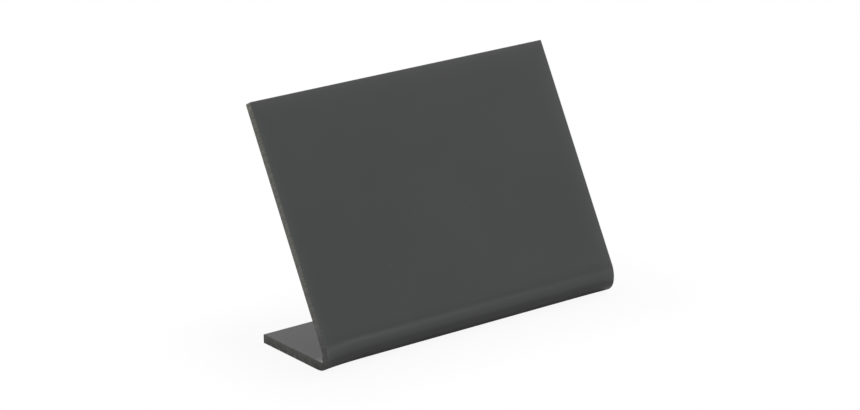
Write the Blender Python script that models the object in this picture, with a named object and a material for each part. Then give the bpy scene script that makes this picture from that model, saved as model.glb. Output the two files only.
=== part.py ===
"""Tabletop chalkboard: one flat sheet of matt black acrylic, softened along a line and folded once.

The writing board leans back over a flat foot. X runs along the fold, Y points to the back and Z up.
The origin is on the table, below the middle of the whole piece. Lengths are in metres.
"""
import math

import bmesh
import bpy
from mathutils import Matrix, Vector

# The sheet before it is folded
SHEET_WIDTH = 0.105
SHEET_THICKNESS = 0.0027

# The two flat leaves, each measured from the end of the fold to its cut edge
BOARD_LENGTH = 0.0708
FOOT_LENGTH = 0.0265

# The fold turns tightly where it leaves the foot and more easily where it runs into the board
LEAN_BACK = math.radians(28.3)
TIGHT_TURN = math.radians(79)
TIGHT_INSIDE_RADIUS = 0.0026
EASY_INSIDE_RADIUS = 0.0049
TURN_PER_STEP = math.radians(3.3)

# The soft sheet draws away from the fold's axis at its free ends, more at the left than at the right
FLARE_LEFT = 0.00085
FLARE_RIGHT = 0.00025
FLARE_REACH = 0.015
FLARE_CUTS = 7

# The cut edges, scraped after sawing
EDGE_BREAK = 0.0002
EDGE_BREAK_STEPS = 2
CREASE_ANGLE = math.radians(20)

# The finish
SHEET_COLOUR = (0.042, 0.044, 0.043, 1.0)
SHEET_ROUGHNESS = 0.62


def outward(turned):
    """Direction that the outside of the sheet faces once the sheet has turned through an angle."""
    return Vector((0.0, -math.sin(turned), -math.cos(turned)))


def onward(turned):
    """Direction in which the sheet runs on once it has turned through an angle."""
    return Vector((0.0, -math.cos(turned), math.sin(turned)))


FOLD_ANGLE = math.pi / 2 + LEAN_BACK
TIGHT_AXIS = -outward(0.0) * (TIGHT_INSIDE_RADIUS + SHEET_THICKNESS)
EASY_AXIS = TIGHT_AXIS - outward(TIGHT_TURN) * (EASY_INSIDE_RADIUS - TIGHT_INSIDE_RADIUS)
FOLD_BENDS = ((TIGHT_AXIS, 0.0, TIGHT_TURN), (EASY_AXIS, TIGHT_TURN, FOLD_ANGLE))


def clear_scene():
    """Removes every object that is in the file."""
    for leftover in list(bpy.data.objects):
        bpy.data.objects.remove(leftover, do_unlink=True)


def matt_black_acrylic():
    """Cast acrylic with a fine matt surface that takes chalk."""
    material = bpy.data.materials.new("matt_black_acrylic")
    material.use_nodes = True
    shader = material.node_tree.nodes["Principled BSDF"]
    shader.inputs["Base Color"].default_value = SHEET_COLOUR
    shader.inputs["Roughness"].default_value = SHEET_ROUGHNESS
    shader.inputs["Metallic"].default_value = 0.0
    return material


def foot_back_edge(bm):
    """Makes the cut edge at the back of the foot, one upright face as wide and thick as the sheet."""
    size = Matrix.Diagonal((SHEET_WIDTH, SHEET_THICKNESS, 1.0, 1.0))
    upright = Matrix.Rotation(math.pi / 2, 4, "X")
    place = Matrix.Translation((0.0, FOOT_LENGTH, SHEET_THICKNESS / 2))
    made = bmesh.ops.create_grid(bm, x_segments=1, y_segments=1, size=0.5, matrix=place @ upright @ size)
    return made["verts"][0].link_faces[0]


def face_among(items):
    """Picks the one face out of what an extrusion or a spin returns."""
    return next(item for item in items if isinstance(item, bmesh.types.BMFace))


def draw_out(bm, end_face, travel):
    """Extrudes the sheet from its end face and returns the new end face."""
    grown = bmesh.ops.extrude_face_region(bm, geom=[end_face, *end_face.edges])["geom"]
    new_end = face_among(grown)
    bmesh.ops.translate(bm, verts=new_end.verts, vec=travel)
    return new_end


def bend(bm, end_face, axis, angle):
    """Carries the end face round an axis along X, forwards and up, and returns the new end face."""
    turned = bmesh.ops.spin(bm, geom=[end_face, *end_face.edges], cent=axis, axis=(-1.0, 0.0, 0.0),
                            angle=angle, steps=math.ceil(angle / TURN_PER_STEP))
    return face_among(turned["geom_last"])


def cut_flare_sections(bm):
    """Cuts the sheet across near both sides, closer together towards the edge, so it can flare."""
    for step in range(1, FLARE_CUTS + 1):
        inset = FLARE_REACH * (step / FLARE_CUTS) ** 2
        for side in (-1.0, 1.0):
            everything = bm.verts[:] + bm.edges[:] + bm.faces[:]
            bmesh.ops.bisect_plane(bm, geom=everything, plane_no=(1.0, 0.0, 0.0),
                                   plane_co=(side * (SHEET_WIDTH / 2 - inset), 0.0, 0.0))


def turned_at(point):
    """Angle that the sheet has turned through at a point of the fold, or None on the flat leaves."""
    for axis, start, end in FOLD_BENDS:
        turned = math.atan2(axis.y - point.y, axis.z - point.z)
        if start < turned < end:
            return turned
    return None


def flare_fold_ends(bm):
    """Draws the fold outwards near the two sides of the sheet, and most at its middle turn."""
    for vert in bm.verts:
        turned = turned_at(vert.co)
        inset = SHEET_WIDTH / 2 - abs(vert.co.x)
        if turned is None or inset > FLARE_REACH:
            continue
        most = FLARE_LEFT if vert.co.x < 0.0 else FLARE_RIGHT
        nearness = (1.0 - inset / FLARE_REACH) ** 2
        fullness = math.sin(math.pi * turned / FOLD_ANGLE) ** 2
        vert.co += outward(turned) * (most * nearness * fullness)


def break_edges(bm):
    """Takes the sharpness off every cut edge."""
    creases = [edge for edge in bm.edges if edge.calc_face_angle(0.0) > CREASE_ANGLE]
    bmesh.ops.bevel(bm, geom=creases, offset=EDGE_BREAK, offset_type="OFFSET", affect="EDGES",
                    segments=EDGE_BREAK_STEPS, profile=0.5, material=-1)


def centre_over_origin(bm):
    """Moves the piece so that the origin is below its middle, level with the underside of the foot."""
    low, high = ([pick(vert.co[axis] for vert in bm.verts) for axis in range(3)] for pick in (min, max))
    middle = Vector(((low[0] + high[0]) / 2, (low[1] + high[1]) / 2, low[2]))
    bmesh.ops.translate(bm, verts=bm.verts, vec=-middle)


def make_folded_board(collection):
    """Builds the whole chalkboard as the one sheet that it is."""
    bm = bmesh.new()
    end_face = draw_out(bm, foot_back_edge(bm), onward(0.0) * FOOT_LENGTH)
    for axis, start, end in FOLD_BENDS:
        end_face = bend(bm, end_face, axis, end - start)
    draw_out(bm, end_face, onward(FOLD_ANGLE) * BOARD_LENGTH)
    bmesh.ops.recalc_face_normals(bm, faces=bm.faces)
    cut_flare_sections(bm)
    flare_fold_ends(bm)
    break_edges(bm)
    centre_over_origin(bm)

    mesh = bpy.data.meshes.new("folded_board")
    bm.to_mesh(mesh)
    bm.free()
    mesh.shade_smooth()
    mesh.set_sharp_from_angle(angle=CREASE_ANGLE)
    mesh.materials.append(matt_black_acrylic())
    collection.objects.link(bpy.data.objects.new("folded_board", mesh))


def main():
    """Clears the file and builds the chalkboard in a collection of its own."""
    clear_scene()
    collection = bpy.data.collections.new("tabletop_chalkboard")
    bpy.context.scene.collection.children.link(collection)
    make_folded_board(collection)


main()
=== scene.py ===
"""Looks of the tabletop chalkboard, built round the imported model.

One sheet of matt black acrylic, softened along a line and folded once, stands on a plain pale table in
soft light. X runs along the fold, Y points to the back and Z up. Lengths are in metres, apart from those
whose names end in mm.
"""
import logging
import math
from dataclasses import dataclass, field
from enum import Enum

import bmesh
import bpy
from mathutils import Matrix, Vector


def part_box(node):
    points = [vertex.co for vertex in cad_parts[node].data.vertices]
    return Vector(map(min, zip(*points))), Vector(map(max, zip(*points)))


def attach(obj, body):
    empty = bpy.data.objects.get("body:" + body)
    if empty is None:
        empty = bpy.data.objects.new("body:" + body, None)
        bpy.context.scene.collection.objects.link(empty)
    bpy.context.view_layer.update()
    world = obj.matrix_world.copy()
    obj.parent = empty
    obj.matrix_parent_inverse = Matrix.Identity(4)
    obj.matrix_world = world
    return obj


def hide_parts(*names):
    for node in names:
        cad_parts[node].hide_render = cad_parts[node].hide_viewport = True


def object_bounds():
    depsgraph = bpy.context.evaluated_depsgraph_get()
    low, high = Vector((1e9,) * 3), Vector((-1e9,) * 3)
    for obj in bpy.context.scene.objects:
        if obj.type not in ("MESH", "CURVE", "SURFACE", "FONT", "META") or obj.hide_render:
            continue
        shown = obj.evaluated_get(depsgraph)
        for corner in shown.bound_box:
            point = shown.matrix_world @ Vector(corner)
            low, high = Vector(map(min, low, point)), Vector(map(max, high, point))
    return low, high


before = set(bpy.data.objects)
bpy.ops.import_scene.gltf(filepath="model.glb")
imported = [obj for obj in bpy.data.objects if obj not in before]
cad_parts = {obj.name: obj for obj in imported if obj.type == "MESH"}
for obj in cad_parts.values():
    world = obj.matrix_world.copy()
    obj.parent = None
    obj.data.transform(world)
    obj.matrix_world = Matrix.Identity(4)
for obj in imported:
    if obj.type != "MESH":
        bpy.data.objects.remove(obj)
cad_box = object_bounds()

log = logging.getLogger("chalkboard")
MM = 0.001
FLAT_PLACE = "flat_place"

# The Mix node's own numbers for its inputs A and B and its result, for colours and for plain values
COLOUR_A, COLOUR_B, COLOUR_RESULT = 6, 7, 2
VALUE_A, VALUE_B, VALUE_RESULT = 2, 3, 0

MeshItem = bmesh.types.BMFace | bmesh.types.BMEdge | bmesh.types.BMVert


def linear(tone: str) -> tuple[float, float, float, float]:
    """Turns an sRGB hex colour into the linear values that a shader takes.

    Args:
        tone: The colour as six hex digits, such as "3a3b3b".

    Returns:
        Red, green and blue from 0 to 1, and an alpha of 1.
    """
    parts = [int(tone[at:at + 2], 16) / 255.0 for at in (0, 2, 4)]
    curve = [part / 12.92 if part <= 0.04045 else ((part + 0.055) / 1.055) ** 2.4 for part in parts]
    return curve[0], curve[1], curve[2], 1.0


def per_metre(millimetres: float) -> float:
    """Gives a texture's scale for a feature of a real size in millimetres, on coordinates in metres."""
    return 1.0 / (millimetres * MM)


def add_node(tree: bpy.types.NodeTree, kind: str, settings: dict | None = None,
             values: dict | None = None, links: dict | None = None) -> bpy.types.Node:
    """Adds one shader node with its settings, its sockets' values and what feeds it.

    Args:
        tree: The node tree that the node joins.
        kind: Blender's name for the kind of node, without its ShaderNode prefix.
        settings: Properties of the node by name.
        values: Constants by input, each named or numbered.
        links: Output sockets by the input that they feed.

    Returns:
        The new node.
    """
    made = tree.nodes.new("ShaderNode" + kind)
    for name, value in (settings or {}).items():
        setattr(made, name, value)
    for socket, value in (values or {}).items():
        made.inputs[socket].default_value = value
    for socket, source in (links or {}).items():
        tree.links.new(source, made.inputs[socket])
    return made


def mirror_mask(tree: bpy.types.NodeTree, path: bpy.types.NodeOutputs) -> bpy.types.NodeSocket:
    """Picks out the rays by which the board mirrors its surroundings.

    Args:
        tree: The node tree that the mask joins.
        path: The outputs of that tree's Light Path node.

    Returns:
        A mask that is 1 for those rays.
    """
    return add_node(tree, "Math", {"operation": "MAXIMUM"},
                    links={0: path["Is Glossy Ray"], 1: path["Is Transmission Ray"]}).outputs[0]


class Slot(Enum):
    """Which finish a face of the sheet has, as its material index."""

    MATT_FACE = 0
    SAWN_EDGE = 1


class Side(Enum):
    """The two ends of the fold, by the sign of X."""

    LEFT = -1.0
    RIGHT = 1.0


@dataclass(frozen=True)
class MattFace:
    """Cast black acrylic with a matted face that takes chalk.

    The matting breaks up every reflection, so the black reads as a soft dark grey. A painted glow beside
    the cut edges makes it a little paler there. Solid acrylic has an index of 1.49, and the open, matted
    skin gives back less light than that. Where the sheet was softened the heat closed the matting a
    little, so the fold shows its pale and dark lines more clearly.
    """

    body: str = "3a3b3b"
    haze: str = "3c3e3d"
    # The tone of the painted glow beside the cut edges
    edge_glow: str = "4a4c4b"
    dust: str = "50524f"
    ior: float = 1.42
    roughness: tuple[float, float] = (0.42, 0.48)

    # Faint clouds that wiping leaves across the face, about two fingers wide
    haze_mm: float = 38.0
    haze_detail: float = 3.0
    haze_band: tuple[float, float] = (0.35, 0.65)

    # The real matting is too fine to show in the render, so its grain is drawn coarser
    grain_mm: float = 0.45
    grain_detail: float = 2.0
    grain_band: tuple[float, float] = (0.3, 0.7)
    grain_height_mm: float = 0.03
    grain_strength: float = 0.35

    # How far the painted glow reaches in from the right side and the top, and from the left side
    edge_glow_mm: float = 2.1
    left_edge_glow_mm: float = 0.9

    # How much smoother the heat left the fold, and how far from its middle that stays full and ends
    heat_gloss: float = 0.13
    heat_core_mm: float = 3.5
    heat_reach_mm: float = 7.0

    # Grains of chalk dust, one in each cell whose middle lies next to the face, by their core and rim
    dust_cell_mm: float = 7.0
    dust_core_mm: float = 0.14
    dust_rim_mm: float = 0.245

    def build(self, width: float, length: float, fold_middle: float) -> bpy.types.Material:
        """Makes the material.

        Args:
            width: The sheet's width along the fold.
            length: The flat sheet's length before it is folded.
            fold_middle: How far along the flat sheet the middle of the fold lies.

        Returns:
            The finished material.
        """
        # Matted cast acrylic: every reflection is spread so wide that the black reads as an even dark grey
        material = bpy.data.materials.new("matt_black_acrylic")
        material.use_nodes = True
        tree = material.node_tree
        shader = tree.nodes["Principled BSDF"]
        place = add_node(tree, "Attribute", {"attribute_name": FLAT_PLACE}).outputs["Vector"]

        haze = add_node(tree, "TexNoise",
                        values={"Scale": per_metre(self.haze_mm), "Detail": self.haze_detail},
                        links={"Vector": place}).outputs["Fac"]
        clouds = add_node(tree, "MapRange",
                          values={"From Min": self.haze_band[0], "From Max": self.haze_band[1]},
                          links={"Value": haze}).outputs["Result"]
        colour = add_node(tree, "Mix", {"data_type": "RGBA"},
                          {COLOUR_A: linear(self.body), COLOUR_B: linear(self.haze)},
                          {0: clouds}).outputs[COLOUR_RESULT]
        # A painted glow beside the cut edges, then the grains of chalk dust
        for tone, mask in ((self.edge_glow, self.edge_glow_mask(tree, place, width, length)),
                           (self.dust, self.dust_mask(tree, place))):
            colour = add_node(tree, "Mix", {"data_type": "RGBA"}, {COLOUR_B: linear(tone)},
                              {0: mask, COLOUR_A: colour}).outputs[COLOUR_RESULT]
        tree.links.new(colour, shader.inputs["Base Color"])

        grain = add_node(tree, "TexNoise",
                         values={"Scale": per_metre(self.grain_mm), "Detail": self.grain_detail},
                         links={"Vector": place}).outputs["Fac"]
        matted = add_node(tree, "MapRange",
                          values={"From Min": self.grain_band[0], "From Max": self.grain_band[1],
                                  "To Min": self.roughness[0], "To Max": self.roughness[1]},
                          links={"Value": grain}).outputs["Result"]
        heated = self.heat_mask(tree, place, fold_middle)
        eased = add_node(tree, "Math", {"operation": "MULTIPLY_ADD"}, {1: -self.heat_gloss},
                         {0: heated, 2: matted}).outputs[0]
        tree.links.new(eased, shader.inputs["Roughness"])
        bump = add_node(tree, "Bump",
                        values={"Strength": self.grain_strength, "Distance": self.grain_height_mm * MM},
                        links={"Height": grain})
        tree.links.new(bump.outputs["Normal"], shader.inputs["Normal"])
        shader.inputs["IOR"].default_value = self.ior
        shader.inputs["Metallic"].default_value = 0.0
        return material

    def edge_glow_mask(self, tree: bpy.types.NodeTree, place: bpy.types.NodeSocket, width: float,
                 length: float) -> bpy.types.NodeSocket:
        """Finds the strips beside the cut edges that get a painted glow.

        Args:
            tree: The material's node tree.
            place: The point's place in the flat sheet.
            width: The sheet's width.
            length: The flat sheet's length.

        Returns:
            A mask that is 1 at the edge and fades away from it.
        """
        axes = add_node(tree, "SeparateXYZ", links={0: place}).outputs
        mask = None
        for edge, axis, way, reach_mm in ((width / 2, "X", Side.RIGHT.value, self.edge_glow_mm),
                                          (length, "Y", 1.0, self.edge_glow_mm),
                                          (width / 2, "X", Side.LEFT.value, self.left_edge_glow_mm)):
            reach = reach_mm * MM
            inset = add_node(tree, "Math", {"operation": "MULTIPLY_ADD"},
                             {1: way / reach, 2: -edge / reach}, {0: axes[axis]}).outputs[0]
            fading = add_node(tree, "Math", {"operation": "EXPONENT"}, links={0: inset}).outputs[0]
            mask = fading if mask is None else add_node(tree, "Math", {"operation": "MAXIMUM"},
                                                        links={0: mask, 1: fading}).outputs[0]
        return mask

    def heat_mask(self, tree: bpy.types.NodeTree, place: bpy.types.NodeSocket,
                  fold_middle: float) -> bpy.types.NodeSocket:
        """Finds the softened strip, where the heat closed the matting a little.

        Args:
            tree: The material's node tree.
            place: The point's place in the flat sheet.
            fold_middle: How far along the flat sheet the middle of the fold lies.

        Returns:
            A mask that is 1 in the fold and fades away on both leaves.
        """
        along = add_node(tree, "SeparateXYZ", links={0: place}).outputs["Y"]
        offset = add_node(tree, "Math", {"operation": "SUBTRACT"}, {1: fold_middle}, {0: along}).outputs[0]
        away = add_node(tree, "Math", {"operation": "ABSOLUTE"}, links={0: offset}).outputs[0]
        return add_node(tree, "MapRange", {"interpolation_type": "SMOOTHSTEP"},
                        {"From Min": self.heat_core_mm * MM, "From Max": self.heat_reach_mm * MM,
                         "To Min": 1.0, "To Max": 0.0}, {"Value": away}).outputs["Result"]

    def dust_mask(self, tree: bpy.types.NodeTree, place: bpy.types.NodeSocket) -> bpy.types.NodeSocket:
        """Scatters a few pale grains of chalk dust.

        Args:
            tree: The material's node tree.
            place: The point's place in the flat sheet.

        Returns:
            A mask that is 1 on a grain.
        """
        cells = add_node(tree, "TexVoronoi", values={"Scale": per_metre(self.dust_cell_mm)},
                         links={"Vector": place})
        return add_node(tree, "MapRange",
                        values={"From Min": self.dust_core_mm / self.dust_cell_mm,
                                "From Max": self.dust_rim_mm / self.dust_cell_mm,
                                "To Min": 1.0, "To Max": 0.0},
                        links={"Value": cells.outputs["Distance"]}).outputs["Result"]


@dataclass(frozen=True)
class EdgeSpot:
    """A small pale place in the left cut edge, by its distance along the flat sheet and its depth."""

    along_mm: float
    depth_mm: float
    reach_mm: float
    tone: str


@dataclass(frozen=True)
class SawnEdge:
    """The same acrylic where it was sawn and scraped.

    The blade's marks run through the thickness and scatter the light, so the edge is greyer and warmer
    than the face. Its tone is darker through the fold, a little darker along the foot, and paler up the
    board.
    """

    # The tone by the distance in millimetres along the flat sheet, from the foot's back edge to the top
    tones: tuple[tuple[float, str], ...] = (
        (0.0, "525250"), (24.0, "51514e"), (29.5, "414140"), (34.0, "414140"), (41.0, "535352"),
        (60.0, "5c5c58"), (107.0, "5e5e59"))

    # Knocks at the top corner, a painted highlight for the gleam and a dull place at the inner corner,
    # and pale spots along the foot
    spots: tuple[EdgeSpot, ...] = (
        EdgeSpot(106.2, 2.2, 2.3, "75746a"), EdgeSpot(105.4, 1.0, 0.5, "9a9a92"),
        EdgeSpot(30.3, 2.7, 0.8, "b4b4b0"), EdgeSpot(32.6, 3.0, 1.2, "6c6c6a"),
        EdgeSpot(3.6, 0.3, 0.6, "77766f"), EdgeSpot(8.2, 0.2, 0.8, "7b7a72"), EdgeSpot(12.4, 0.5, 0.5, "7b7a72"),
        EdgeSpot(15.8, 0.4, 0.9, "74736c"), EdgeSpot(20.6, 0.3, 0.6, "77766f"))
    spot_core: float = 0.3
    ior: float = 1.42
    roughness: float = 0.55

    # The real marks are too fine to show in the render, so they are drawn wider
    mark_mm: float = 0.7
    mark_length_mm: float = 3.0
    mark_detail: float = 2.0
    grain_mm: float = 0.4
    grain_detail: float = 3.0

    # How far the marks and the grain together stray from 1, and how many times as far the tone does
    relief_band: float = 0.2
    contrast: float = 1.6
    relief_height_mm: float = 0.08
    relief_strength: float = 0.6

    def build(self, width: float, length: float) -> bpy.types.Material:
        """Makes the material.

        Args:
            width: The sheet's width along the fold.
            length: The flat sheet's length before it is folded.

        Returns:
            The finished material.
        """
        # Sawn and scraped acrylic: the open marks scatter the light, so the black reads as a worn, warm grey
        material = bpy.data.materials.new("sawn_black_acrylic")
        material.use_nodes = True
        tree = material.node_tree
        shader = tree.nodes["Principled BSDF"]
        place = add_node(tree, "Attribute", {"attribute_name": FLAT_PLACE}).outputs["Vector"]
        colour = self.tone_along(tree, place, length)
        # Knocks, pale spots and, at the inner corner, a painted highlight laid over the tone
        for spot in self.spots:
            centre = (-width / 2, spot.along_mm * MM, spot.depth_mm * MM)
            reach = spot.reach_mm * MM
            away = add_node(tree, "VectorMath", {"operation": "DISTANCE"}, {1: centre},
                            {0: place}).outputs["Value"]
            near = add_node(tree, "MapRange", {"interpolation_type": "SMOOTHSTEP"},
                            {"From Min": self.spot_core * reach, "From Max": reach,
                             "To Min": 1.0, "To Max": 0.0}, {"Value": away}).outputs["Result"]
            colour = add_node(tree, "Mix", {"data_type": "RGBA"}, {COLOUR_B: linear(spot.tone)},
                              {0: near, COLOUR_A: colour}).outputs[COLOUR_RESULT]

        relief = self.relief(tree, place)
        swing = self.relief_band * self.contrast
        gain = add_node(tree, "MapRange",
                        values={"From Min": 1.0 - self.relief_band, "From Max": 1.0 + self.relief_band,
                                "To Min": 1.0 - swing, "To Max": 1.0 + swing},
                        links={"Value": relief}).outputs["Result"]
        marked = add_node(tree, "VectorMath", {"operation": "SCALE"}, links={0: colour, "Scale": gain})
        tree.links.new(marked.outputs["Vector"], shader.inputs["Base Color"])
        bump = add_node(tree, "Bump",
                        values={"Strength": self.relief_strength, "Distance": self.relief_height_mm * MM},
                        links={"Height": relief})
        tree.links.new(bump.outputs["Normal"], shader.inputs["Normal"])
        shader.inputs["Roughness"].default_value = self.roughness
        shader.inputs["IOR"].default_value = self.ior
        shader.inputs["Metallic"].default_value = 0.0
        return material

    def relief(self, tree: bpy.types.NodeTree, place: bpy.types.NodeSocket) -> bpy.types.NodeSocket:
        """Adds the saw's marks, drawn out through the thickness, to the grain between them.

        Args:
            tree: The material's node tree.
            place: The point's place in the flat sheet.

        Returns:
            A height that strays to both sides of 1.
        """
        drawn_out = add_node(tree, "Mapping",
                             values={"Scale": (1.0, 1.0, self.mark_mm / self.mark_length_mm)},
                             links={"Vector": place}).outputs["Vector"]
        marks = add_node(tree, "TexNoise",
                         values={"Scale": per_metre(self.mark_mm), "Detail": self.mark_detail},
                         links={"Vector": drawn_out}).outputs["Fac"]
        grain = add_node(tree, "TexNoise",
                         values={"Scale": per_metre(self.grain_mm), "Detail": self.grain_detail},
                         links={"Vector": place}).outputs["Fac"]
        return add_node(tree, "Math", {"operation": "ADD"}, links={0: marks, 1: grain}).outputs[0]

    def tone_along(self, tree: bpy.types.NodeTree, place: bpy.types.NodeSocket,
                   length: float) -> bpy.types.NodeSocket:
        """Gives the edge its slow change of tone from the foot to the top.

        Args:
            tree: The material's node tree.
            place: The point's place in the flat sheet.
            length: The flat sheet's length.

        Returns:
            The colour.
        """
        along = add_node(tree, "SeparateXYZ", links={0: place}).outputs["Y"]
        share = add_node(tree, "Math", {"operation": "DIVIDE"}, {1: length}, {0: along}).outputs[0]
        ramp = add_node(tree, "ValToRGB", links={"Fac": share})
        stops = ramp.color_ramp.elements
        for along_mm, _ in self.tones[1:-1]:
            stops.new(along_mm * MM / length)
        for stop, (_, tone) in zip(stops, self.tones):
            stop.color = linear(tone)
        return ramp.outputs["Color"]


@dataclass
class FoldedBoard:
    """The whole chalkboard: one sheet, softened along a line and folded up from its foot."""

    node: str = "folded_board"
    width: float = 0.105
    thickness: float = 0.0027
    board_length: float = 0.0708
    foot_length: float = 0.0265

    # The fold turns tightly where it leaves the foot and more easily where it runs into the board
    lean_back: float = math.radians(28.3)
    tight_turn: float = math.radians(79.0)
    tight_inside: float = 0.0026
    easy_inside: float = 0.0049

    # The soft sheet swelled outwards at the free ends of the fold
    flare: dict[Side, float] = field(default_factory=lambda: {Side.LEFT: 0.00085, Side.RIGHT: 0.00025})
    flare_reach: float = 0.015

    # The spacing of the rows of faces, the narrow row beside each cut edge, and the steps round the fold
    section: float = 0.00125
    rim: float = 0.0005
    turn_per_step: float = math.radians(1.5)

    # The cut edges, scraped after sawing, and the angle from which an edge counts as one
    edge_break: float = 0.0002
    edge_break_steps: int = 4
    crease: float = math.radians(40.0)

    # A face whose middle lies deeper than this below either side of the sheet belongs to the cut edge
    skin: float = 0.00001

    @property
    def fold_angle(self) -> float:
        """The angle that the sheet turns through from the foot to the board."""
        return math.pi / 2 + self.lean_back

    @property
    def bends(self) -> list[tuple[Vector, float, float, float]]:
        """The fold's two bends.

        Returns:
            For each bend its axis, the turn where it starts, the turn where it ends, and the radius of the
            middle of the sheet.
        """
        tight = Vector((0.0, 0.0, self.tight_inside + self.thickness))
        easy = tight - self.outward(self.tight_turn) * (self.easy_inside - self.tight_inside)
        half = self.thickness / 2
        return [(tight, 0.0, self.tight_turn, self.tight_inside + half),
                (easy, self.tight_turn, self.fold_angle, self.easy_inside + half)]

    @property
    def flat_length(self) -> float:
        """The sheet's length before it is folded."""
        return self.foot_length + self.board_length + sum((last - first) * radius
                                                          for _, first, last, radius in self.bends)

    @property
    def fold_middle(self) -> float:
        """How far along the flat sheet the middle of the fold lies."""
        return (self.foot_length + self.flat_length - self.board_length) / 2

    @staticmethod
    def outward(turned: float) -> Vector:
        """The way that the outside of the sheet faces once it has turned through an angle."""
        return Vector((0.0, -math.sin(turned), -math.cos(turned)))

    @staticmethod
    def onward(turned: float) -> Vector:
        """The way that the sheet runs on once it has turned through an angle."""
        return Vector((0.0, -math.cos(turned), math.sin(turned)))

    def back_edge(self, bm: bmesh.types.BMesh) -> list[bmesh.types.BMFace]:
        """Makes the cut edge at the back of the foot as a row of upright faces.

        Args:
            bm: The mesh to add to.

        Returns:
            The new faces.
        """
        # A square of side 1, made as wide and as high as the sheet's cut edge
        size = Matrix.Diagonal((self.width, self.thickness, 1.0, 1.0))
        place = Matrix.Translation((0.0, self.foot_length, self.thickness / 2))
        upright = Matrix.Rotation(math.pi / 2, 4, "X")
        bmesh.ops.create_grid(bm, x_segments=round(self.width / self.section), y_segments=1, size=0.5,
                              matrix=place @ upright @ size)
        return list(bm.faces)

    @staticmethod
    def whole(faces: list[bmesh.types.BMFace]) -> list[MeshItem]:
        """Lists faces together with all their edges and corners, as an extrusion needs them.

        Args:
            faces: The faces.

        Returns:
            The faces, their edges and their corners.
        """
        edges = {edge for face in faces for edge in face.edges}
        verts = {vert for face in faces for vert in face.verts}
        return [*faces, *edges, *verts]

    def run_on(self, bm: bmesh.types.BMesh, end: list[bmesh.types.BMFace], turned: float,
               length: float, rows: int = 1) -> list[bmesh.types.BMFace]:
        """Runs the sheet straight on from its end.

        Args:
            bm: The mesh to add to.
            end: The faces at the end of the sheet so far.
            turned: The angle that the sheet has turned through.
            length: How far it runs on.
            rows: The number of rows of faces that this length is made in.

        Returns:
            The faces at the new end.
        """
        for _ in range(rows):
            grown = bmesh.ops.extrude_face_region(bm, geom=self.whole(end))["geom"]
            end = [item for item in grown if isinstance(item, bmesh.types.BMFace)]
            bmesh.ops.translate(bm, verts=list({vert for face in end for vert in face.verts}),
                                vec=self.onward(turned) * length / rows)
        return end

    def bend(self, bm: bmesh.types.BMesh, end: list[bmesh.types.BMFace], axis: Vector,
             angle: float) -> list[bmesh.types.BMFace]:
        """Carries the end of the sheet round an axis along X, forwards and up.

        Args:
            bm: The mesh to add to.
            end: The faces at the end of the sheet so far.
            axis: A point on the bend's axis.
            angle: The turn.

        Returns:
            The faces at the new end.
        """
        turned = bmesh.ops.spin(bm, geom=self.whole(end), cent=axis, axis=(-1.0, 0.0, 0.0), angle=angle,
                                steps=math.ceil(angle / self.turn_per_step))
        return [item for item in turned["geom_last"] if isinstance(item, bmesh.types.BMFace)]

    def shape(self) -> bmesh.types.BMesh:
        """Folds the sheet, with a narrow row of faces beside every cut edge.

        Returns:
            The sheet as one closed mesh, in the frame that it is folded in.
        """
        bm = bmesh.new()
        end = self.run_on(bm, self.back_edge(bm), 0.0, self.rim)
        end = self.run_on(bm, end, 0.0, self.foot_length - self.rim, round(self.foot_length / self.section))
        for axis, first, last, _ in self.bends:
            end = self.bend(bm, end, axis, last - first)
        end = self.run_on(bm, end, self.fold_angle, self.board_length - self.rim,
                          round(self.board_length / self.section))
        self.run_on(bm, end, self.fold_angle, self.rim)
        bmesh.ops.recalc_face_normals(bm, faces=bm.faces)
        for side in Side:
            everything = bm.verts[:] + bm.edges[:] + bm.faces[:]
            bmesh.ops.bisect_plane(bm, geom=everything, plane_no=(1.0, 0.0, 0.0),
                                   plane_co=(side.value * (self.width / 2 - self.rim), 0.0, 0.0))
        return bm

    def break_edges(self, bm: bmesh.types.BMesh) -> None:
        """Takes the sharpness off every cut edge."""
        creases = [edge for edge in bm.edges if edge.calc_face_angle(0.0) > self.crease]
        bmesh.ops.bevel(bm, geom=creases, offset=self.edge_break, offset_type="OFFSET", affect="EDGES",
                        segments=self.edge_break_steps, profile=0.5, material=-1)

    def flat_place(self, point: Vector) -> Vector:
        """Finds where a point of the folded sheet lay while the sheet was flat.

        Args:
            point: A point, in the frame that the sheet is folded in.

        Returns:
            The distance across, the distance from the foot's back edge, and the depth below the outside.
        """
        run = self.foot_length
        # The board leans back over the foot, more than half a thickness clear of it
        if point.y >= 0.0 and point.z < self.thickness * 1.5:
            return Vector((point.x, run - point.y, point.z))
        for axis, first, last, radius in self.bends:
            turned = math.atan2(axis.y - point.y, axis.z - point.z)
            if first <= turned <= last:
                reach = math.hypot(point.y - axis.y, point.z - axis.z)
                return Vector((point.x, run + (turned - first) * radius, radius + self.thickness / 2 - reach))
            run += (last - first) * radius
        axis, _, last, radius = self.bends[-1]
        past = point - axis
        return Vector((point.x, run + past.dot(self.onward(last)),
                       radius + self.thickness / 2 - past.dot(self.outward(last))))

    def mark_places(self, bm: bmesh.types.BMesh) -> None:
        """Keeps every point's place in the flat sheet, and tells the cut edges from the two large faces.

        Args:
            bm: The folded sheet, before its ends are flared.
        """
        places = bm.verts.layers.float_vector.new(FLAT_PLACE)
        for vert in bm.verts:
            vert[places] = self.flat_place(vert.co)
        for item in bm.faces:
            depth = sum(vert[places].z for vert in item.verts) / len(item.verts)
            cut = self.skin < depth < self.thickness - self.skin
            item.material_index = (Slot.SAWN_EDGE if cut else Slot.MATT_FACE).value

    def turned_at(self, point: Vector) -> float | None:
        """Finds the angle that the sheet has turned through at a point.

        Args:
            point: A point, in the frame that the sheet is folded in.

        Returns:
            The angle in the fold, or None on the two flat leaves.
        """
        for axis, first, last, _ in self.bends:
            turned = math.atan2(axis.y - point.y, axis.z - point.z)
            if first < turned < last:
                return turned
        return None

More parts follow.
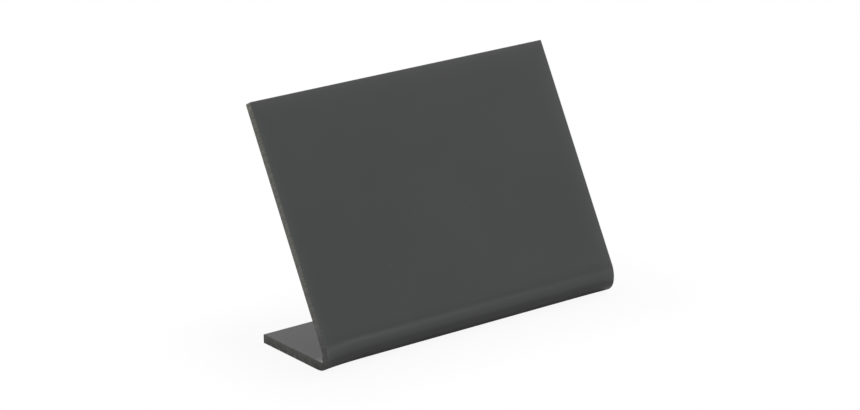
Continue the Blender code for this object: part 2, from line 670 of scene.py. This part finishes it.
    def flare_ends(self, bm: bmesh.types.BMesh) -> None:
        """Draws the fold outwards near the two sides of the sheet, and most at its middle turn.

        Args:
            bm: The folded sheet.
        """
        for vert in bm.verts:
            turned = self.turned_at(vert.co)
            inset = self.width / 2 - abs(vert.co.x)
            if turned is None or inset > self.flare_reach:
                continue
            most = self.flare[Side.LEFT if vert.co.x < 0.0 else Side.RIGHT]
            nearness = (1.0 - inset / self.flare_reach) ** 2
            fullness = math.sin(math.pi * turned / self.fold_angle) ** 2
            vert.co += self.outward(turned) * (most * nearness * fullness)

    def settle(self, bm: bmesh.types.BMesh) -> None:
        """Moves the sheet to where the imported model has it.

        Args:
            bm: The folded sheet.
        """
        low, high = ([pick(vert.co[axis] for vert in bm.verts) for axis in range(3)] for pick in (min, max))
        cad_low, cad_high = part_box(self.node)
        shift = Vector(((cad_low[0] + cad_high[0] - low[0] - high[0]) / 2,
                        (cad_low[1] + cad_high[1] - low[1] - high[1]) / 2, cad_low[2] - low[2]))
        bmesh.ops.translate(bm, verts=bm.verts, vec=shift)

    def build(self, face: MattFace, edge: SawnEdge) -> bpy.types.Object:
        """Builds the sheet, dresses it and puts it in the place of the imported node.

        Args:
            face: The finish of the two large faces.
            edge: The finish of the cut edges.

        Returns:
            The finished piece.
        """
        bm = self.shape()
        self.break_edges(bm)
        self.mark_places(bm)
        self.flare_ends(bm)
        self.settle(bm)

        mesh = bpy.data.meshes.new("folded_sheet")
        bm.to_mesh(mesh)
        bm.free()
        mesh.shade_smooth()
        mesh.set_sharp_from_angle(angle=self.crease)
        mesh.materials.append(face.build(self.width, self.flat_length, self.fold_middle))
        mesh.materials.append(edge.build(self.width, self.flat_length))
        piece = bpy.data.objects.new("folded_sheet", mesh)
        bpy.context.scene.collection.objects.link(piece)
        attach(piece, "root")
        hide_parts(self.node)
        return piece


@dataclass(frozen=True)
class SoftLamp:
    """One round softbox that faces the board.

    Azimuth 0 stands in front of the board, 90 at its right and 180 behind it. At level 1 a white card
    that faces the lamp renders white.
    """

    name: str
    azimuth: float
    elevation: float
    level: float
    diameter: float = 2.1
    distance: float = 3.0

    def build(self, target: Vector) -> bpy.types.Object:
        """Hangs the lamp so that it faces a point.

        Args:
            target: The point that it faces.

        Returns:
            The lamp.
        """
        data = bpy.data.lights.new(self.name, "AREA")
        data.shape, data.size = "DISK", self.diameter
        data.energy = self.level * (math.pi * self.distance) ** 2
        lamp = bpy.data.objects.new(self.name, data)
        around, up = math.radians(self.azimuth), math.radians(self.elevation)
        way = Vector((math.sin(around) * math.cos(up), -math.cos(around) * math.cos(up), math.sin(up)))
        turn = (-way).to_track_quat("-Z", "Y").to_matrix().to_4x4()
        lamp.matrix_world = Matrix.Translation(target + way * self.distance) @ turn
        bpy.context.scene.collection.objects.link(lamp)
        return lamp


@dataclass(frozen=True)
class PaleCard:
    """Pale uncoated card for the table, which scatters the light evenly.

    The camera sees it as the white of the room, with a faint shadow round the board. The board mirrors the
    same white, which a painted contact shadow dims close to its foot and which gives way to the card's own
    shadow below the fold. That is what draws the dark line along the bottom of the fold.
    """

    body: str = "d8d8d6"
    roughness: float = 0.9

    # The share of white that the camera sees at the board, over the card's own shadow, and where it is full
    seen_share: float = 0.92
    seen_reach: float = 0.035

    # What the board mirrors: where its own shadow has gone, then the painted contact shadow's level, core and
    # end
    shadow_reach: float = 0.003
    painted_shadow_level: float = 0.4
    painted_shadow_core: float = 0.003
    painted_shadow_reach: float = 0.010

    def build(self, footprint: tuple[float, float]) -> bpy.types.Material:
        """Makes the material.

        Args:
            footprint: Half the width and half the depth of the board, which stands over the origin.

        Returns:
            The finished material.
        """
        # Uncoated card: an even, nearly white surface that shows no lamp
        material = bpy.data.materials.new("pale_card")
        material.use_nodes = True
        tree = material.node_tree
        card, out = tree.nodes["Principled BSDF"], tree.nodes["Material Output"]
        card.inputs["Base Color"].default_value = linear(self.body)
        card.inputs["Roughness"].default_value = self.roughness

        away = self.distance_from(tree, footprint)
        seen = add_node(tree, "MapRange", {"interpolation_type": "SMOOTHSTEP"},
                        {"From Max": self.seen_reach, "To Min": self.seen_share},
                        {"Value": away}).outputs["Result"]
        # The white that the board mirrors, dimmed near the foot by a painted contact shadow
        mirror_white_with_painted_shadow = add_node(tree, "MapRange", {"interpolation_type": "SMOOTHSTEP"},
                            {"From Min": self.painted_shadow_core, "From Max": self.painted_shadow_reach,
                             "To Min": self.painted_shadow_level}, {"Value": away}).outputs["Result"]
        unshadowed = add_node(tree, "MapRange", values={"From Max": self.shadow_reach},
                              links={"Value": away}).outputs["Result"]

        path = add_node(tree, "LightPath").outputs
        by_camera = add_node(tree, "Math", {"operation": "MULTIPLY"},
                             links={0: path["Is Camera Ray"], 1: seen}).outputs[0]
        by_mirror = add_node(tree, "Math", {"operation": "MULTIPLY"},
                             links={0: mirror_mask(tree, path), 1: unshadowed}).outputs[0]
        mask = add_node(tree, "Math", {"operation": "MAXIMUM"},
                        links={0: by_camera, 1: by_mirror}).outputs[0]
        level = add_node(tree, "Mix", values={VALUE_B: 1.0},
                         links={0: path["Is Camera Ray"], VALUE_A: mirror_white_with_painted_shadow}).outputs[VALUE_RESULT]
        white = add_node(tree, "Emission", links={"Strength": level}).outputs[0]
        mixed = add_node(tree, "MixShader", links={0: mask, 1: card.outputs[0], 2: white}).outputs[0]
        tree.links.new(mixed, out.inputs["Surface"])
        return material

    @staticmethod
    def distance_from(tree: bpy.types.NodeTree, footprint: tuple[float, float]) -> bpy.types.NodeSocket:
        """Measures how far outside the board's footprint a point of the table lies.

        Args:
            tree: The material's node tree.
            footprint: Half the width and half the depth of the board.

        Returns:
            The distance, which is 0 below the board.
        """
        place = add_node(tree, "TexCoord").outputs["Object"]
        spread = add_node(tree, "VectorMath", {"operation": "ABSOLUTE"}, links={0: place}).outputs["Vector"]
        beyond = add_node(tree, "VectorMath", {"operation": "SUBTRACT"}, {1: (*footprint, 0.0)},
                          {0: spread}).outputs["Vector"]
        outside = add_node(tree, "VectorMath", {"operation": "MAXIMUM"}, {1: (0.0, 0.0, 0.0)},
                           {0: beyond}).outputs["Vector"]
        return add_node(tree, "VectorMath", {"operation": "LENGTH"}, links={0: outside}).outputs["Value"]


@dataclass
class Studio:
    """A plain pale table in a white room, under soft lamps."""

    table_radius: float = 6.0
    table_sides: int = 96
    target: Vector = field(default_factory=lambda: Vector((0.0, 0.0, 0.03)))

    # What the room adds to the light on the board. Where it is seen it is white, and dims towards the top
    wall: str = "ffffff"
    room_light: float = 0.43
    upper_wall: float = 0.77
    upper_wall_from: float = 0.35

    lamps: tuple[SoftLamp, ...] = (
        SoftLamp("right", 90.0, 42.0, 0.58),
        SoftLamp("back_left", 225.0, 42.0, 0.10),
        SoftLamp("left_low", 270.0, 14.0, 0.10),
        SoftLamp("back_right_low", 135.0, 14.0, 0.08),
        SoftLamp("front_low", 20.0, 4.0, 0.11, diameter=0.9),
    )

    def build_table(self, footprint: tuple[float, float]) -> bpy.types.Object:
        """Makes the table top as one round sheet of card.

        Args:
            footprint: Half the width and half the depth of the board.

        Returns:
            The table.
        """
        bm = bmesh.new()
        bmesh.ops.create_circle(bm, cap_ends=True, segments=self.table_sides, radius=self.table_radius)
        mesh = bpy.data.meshes.new("table")
        bm.to_mesh(mesh)
        bm.free()
        mesh.materials.append(PaleCard().build(footprint))
        table = bpy.data.objects.new("table", mesh)
        bpy.context.scene.collection.objects.link(table)
        return table

    def build_room(self) -> bpy.types.World:
        """Makes the room, which is white where it is seen and lights the board a little from all round.

        Returns:
            The world.
        """
        world = bpy.data.worlds.new("white_room")
        bpy.context.scene.world = world
        world.use_nodes = True
        tree = world.node_tree
        room = tree.nodes["Background"]
        room.inputs["Color"].default_value = linear(self.wall)
        path = add_node(tree, "LightPath").outputs
        seen = add_node(tree, "Math", {"operation": "MAXIMUM"},
                        links={0: path["Is Camera Ray"], 1: mirror_mask(tree, path)}).outputs[0]
        way = add_node(tree, "TexCoord").outputs["Generated"]
        height = add_node(tree, "SeparateXYZ", links={0: way}).outputs["Z"]
        dimming = add_node(tree, "MapRange", {"interpolation_type": "SMOOTHSTEP"},
                           {"From Max": self.upper_wall_from, "To Min": 1.0, "To Max": self.upper_wall},
                           {"Value": height}).outputs["Result"]
        strength = add_node(tree, "Mix", values={VALUE_A: self.room_light},
                            links={0: seen, VALUE_B: dimming}).outputs[VALUE_RESULT]
        tree.links.new(strength, room.inputs["Strength"])
        return world

    def build(self, footprint: tuple[float, float]) -> bpy.types.Object:
        """Makes the lamps, the room and the table.

        Args:
            footprint: Half the width and half the depth of the board.

        Returns:
            The table.
        """
        for lamp in self.lamps:
            lamp.build(self.target)
            log.info("%s: level %.2f", lamp.name, lamp.level)
        self.build_room()
        return self.build_table(footprint)


@dataclass
class PhotoCamera:
    """The camera at the photograph's viewing angle, which looks down on the board from its left."""

    place: Vector = field(default_factory=lambda: Vector((-0.48500, -0.65225, 0.30251)))
    yaw: float = math.radians(-36.51)
    pitch: float = math.radians(-18.257)
    roll: float = math.radians(0.92)
    lens_mm: float = 123.13
    sensor_mm: float = 36.0
    clip: tuple[float, float] = (0.01, 50.0)

    def build(self) -> bpy.types.Object:
        """Makes the camera and hands it to the scene.

        Returns:
            The camera.
        """
        data = bpy.data.cameras.new("photo_camera")
        data.lens, data.sensor_width, data.sensor_fit = self.lens_mm, self.sensor_mm, "HORIZONTAL"
        data.clip_start, data.clip_end = self.clip
        camera = bpy.data.objects.new("photo_camera", data)
        bpy.context.scene.collection.objects.link(camera)
        turn = (Matrix.Rotation(self.yaw, 4, "Z") @ Matrix.Rotation(math.pi / 2 + self.pitch, 4, "X")
                @ Matrix.Rotation(-self.roll, 4, "Z"))
        camera.matrix_world = Matrix.Translation(self.place) @ turn
        bpy.context.scene.camera = camera
        return camera


def main() -> None:
    """Builds the chalkboard, then the studio round it."""
    logging.basicConfig(level=logging.INFO, format="%(name)s: %(message)s")
    sheet = FoldedBoard().build(MattFace(), SawnEdge())
    log.info("%s: %d faces", sheet.name, len(sheet.data.polygons))
    half_width, half_depth, _ = cad_box[1]
    table = Studio().build((half_width, half_depth))
    log.info("%s: %d faces", table.name, len(table.data.polygons))
    camera = PhotoCamera().build()
    log.info("%s: %.1f mm lens", camera.name, camera.data.lens)
    bpy.context.scene.view_settings.view_transform = "Standard"


if __name__ == "__main__":
    main()
